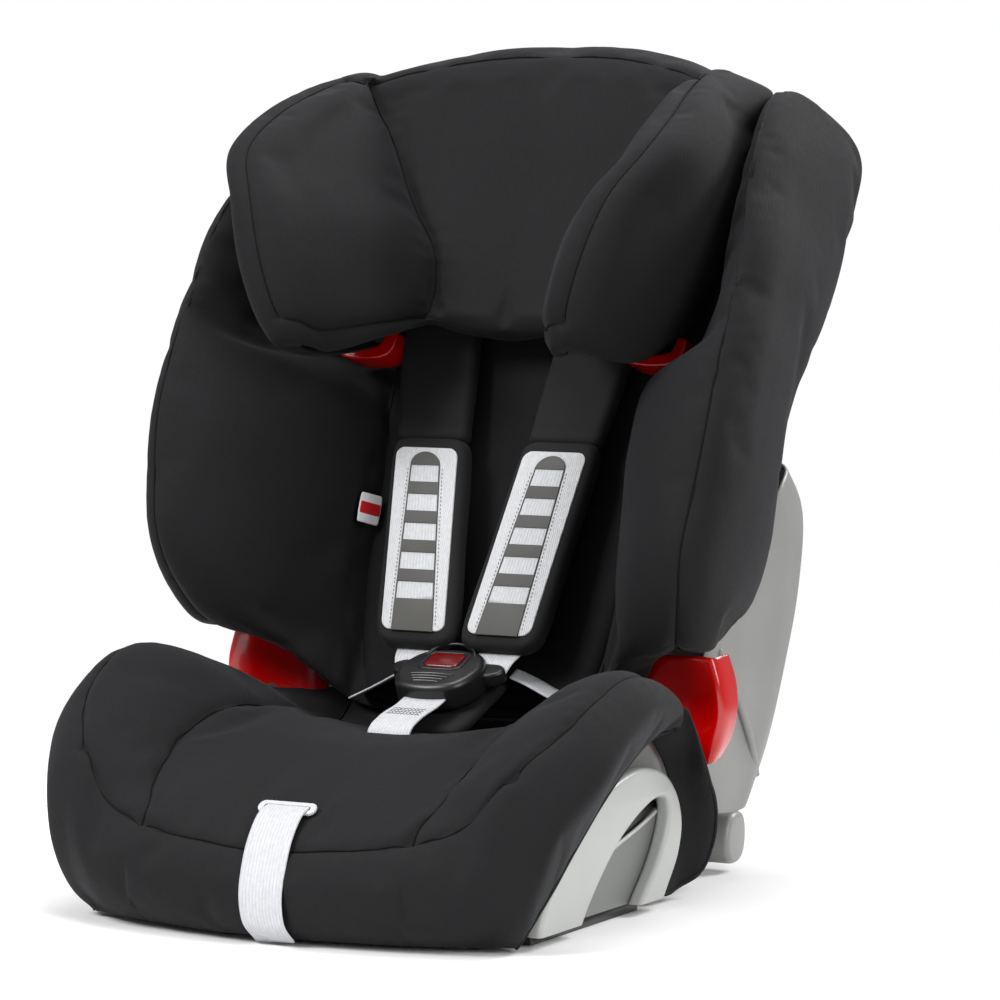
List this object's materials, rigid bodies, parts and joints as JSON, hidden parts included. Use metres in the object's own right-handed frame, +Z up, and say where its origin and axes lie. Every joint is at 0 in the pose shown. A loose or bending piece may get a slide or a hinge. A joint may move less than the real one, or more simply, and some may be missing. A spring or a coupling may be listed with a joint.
{
  "type": "child car seat",
  "caption": "High-back child car seat with a five-point harness, sliding winged headrest, belt guides and a reclining base.",
  "frame": {"origin": "on the supporting plane, on the middle plane of the seat, 60 mm in front of the recline axis", "axes": "+Z up, the child faces -Y, +X is to the right seen from the front"},
  "size_m": [0.4988, 0.6077, 0.6782],
  "materials": {
    "fabric_black": "charcoal woven upholstery",
    "plastic_black": "matte",
    "plastic_light_grey": "fine grain, satin",
    "plastic_mid_grey": "fine grain, matte",
    "plastic_red": "high gloss",
    "webbing_white": "woven polyester webbing",
    "reflective_white": "smooth coated fabric",
    "foam": "closed-cell foam",
    "steel": "zinc plated"
  },
  "bodies": {
    "base": {"base_tray": "plastic_black", "side_arch_left": "plastic_light_grey", "side_arch_right": "plastic_light_grey", "arch_panel_left": "plastic_mid_grey", "arch_panel_right": "plastic_mid_grey", "rear_foot_left": "plastic_light_grey", "rear_foot_right": "plastic_light_grey"},
    "seat": {"seat_cushion": "fabric_black", "seat_foam": "foam", "side_flap_left": "fabric_black", "side_flap_right": "fabric_black", "seat_pan": "plastic_black", "recline_rack": "steel", "side_housing_left": "plastic_mid_grey", "side_housing_right": "plastic_mid_grey", "back_shell": "plastic_black", "back_cover": "fabric_black", "back_foam": "foam", "comfort_insert": "fabric_black", "wing_foam_left": "foam", "wing_foam_right": "foam", "rear_fairing": "plastic_light_grey", "lap_belt_guide_left": "plastic_red", "lap_belt_guide_right": "plastic_red", "headrest_rail_left": "steel", "headrest_rail_right": "steel", "shoulder_strap_left": "webbing_white", "shoulder_strap_right": "webbing_white", "lap_strap_left": "webbing_white", "lap_strap_right": "webbing_white", "crotch_anchor": "steel", "adjuster_strap": "webbing_white", "adjuster_housing": "steel", "adjuster_pin": "steel", "yoke_plate": "steel", "side_tag": "webbing_white"},
    "headrest": {"headrest_cover": "fabric_black", "headrest_shell": "plastic_black", "headrest_carriage": "plastic_black", "shoulder_belt_guide_left": "plastic_red", "shoulder_belt_guide_right": "plastic_red", "shoulder_pad_left": "fabric_black", "shoulder_pad_right": "fabric_black", "chest_pad_left": "fabric_black", "chest_pad_right": "fabric_black", "chest_frame_left": "reflective_white", "chest_frame_right": "reflective_white"},
    "headrest_lever": {"headrest_lever": "plastic_light_grey"},
    "lock_bolt_left": {"lock_bolt_left": "steel"},
    "lock_bolt_right": {"lock_bolt_right": "steel"},
    "buckle": {"buckle_case": "plastic_black", "crotch_strap": "webbing_white", "crotch_pad": "fabric_black"},
    "buckle_button": {"buckle_button": "plastic_red"},
    "buckle_latch": {"buckle_latch": "steel"},
    "tongue_left": {"tongue_left": "plastic_black"},
    "tongue_right": {"tongue_right": "plastic_black"},
    "adjuster_lever": {"adjuster_lever": "plastic_black"},
    "recline_handle": {"recline_handle": "plastic_mid_grey"},
    "recline_latch": {"recline_latch": "steel"}
  },
  "joints": [
    {"name": "recline", "type": "hinge", "parent": "base", "child": "seat", "pos_m": [0, 0.06, 0.6], "axis": [-1, 0, 0], "range_deg": [0, 5]},
    {"name": "recline_handle_pull", "type": "slide", "parent": "base", "child": "recline_handle", "axis": [0, -1, 0], "range_m": [0, 0.012]},
    {"name": "recline_latch_drop", "type": "slide", "parent": "base", "child": "recline_latch", "axis": [0, 0, -1], "range_m": [0, 0.006]},
    {"name": "headrest_height", "type": "slide", "parent": "seat", "child": "headrest", "axis": [0, 0.342, 0.9397], "range_m": [0, 0.15]},
    {"name": "headrest_lever_lift", "type": "slide", "parent": "headrest", "child": "headrest_lever", "axis": [0, 0.342, 0.9397], "range_m": [0, 0.008]},
    {"name": "lock_bolt_left_slide", "type": "slide", "parent": "headrest", "child": "lock_bolt_left", "axis": [-1, 0, 0], "range_m": [0, 0.004]},
    {"name": "lock_bolt_right_slide", "type": "slide", "parent": "headrest", "child": "lock_bolt_right", "axis": [1, 0, 0], "range_m": [0, 0.004]},
    {"name": "buckle_swing", "type": "hinge", "parent": "seat", "child": "buckle", "pos_m": [0, -0.045, 0.128], "axis": [1, 0, 0], "range_deg": [0, 5]},
    {"name": "buckle_button_press", "type": "slide", "parent": "buckle", "child": "buckle_button", "axis": [0, 0.3746, -0.9272], "range_m": [0, 0.003]},
    {"name": "buckle_latch_slide", "type": "slide", "parent": "buckle", "child": "buckle_latch", "axis": [0, -0.9272, -0.3746], "range_m": [0, 0.0015]},
    {"name": "tongue_left_pull", "type": "slide", "parent": "buckle", "child": "tongue_left", "axis": [0, 0.9272, 0.3746], "range_m": [0, 0.01]},
    {"name": "tongue_right_pull", "type": "slide", "parent": "buckle", "child": "tongue_right", "axis": [0, 0.9272, 0.3746], "range_m": [0, 0.01]},
    {"name": "adjuster_lever_press", "type": "hinge", "parent": "seat", "child": "adjuster_lever", "pos_m": [0, -0.148, 0.107], "axis": [1, 0, 0], "range_deg": [0, 8]}
  ],
  "couplings": [
    {"joint": "recline_latch_drop", "follows": "recline_handle_pull", "ratio": 0.5},
    {"joint": "lock_bolt_left_slide", "follows": "headrest_lever_lift", "ratio": 0.5},
    {"joint": "lock_bolt_right_slide", "follows": "headrest_lever_lift", "ratio": 0.5},
    {"joint": "buckle_latch_slide", "follows": "buckle_button_press", "ratio": 0.5}
  ]
}
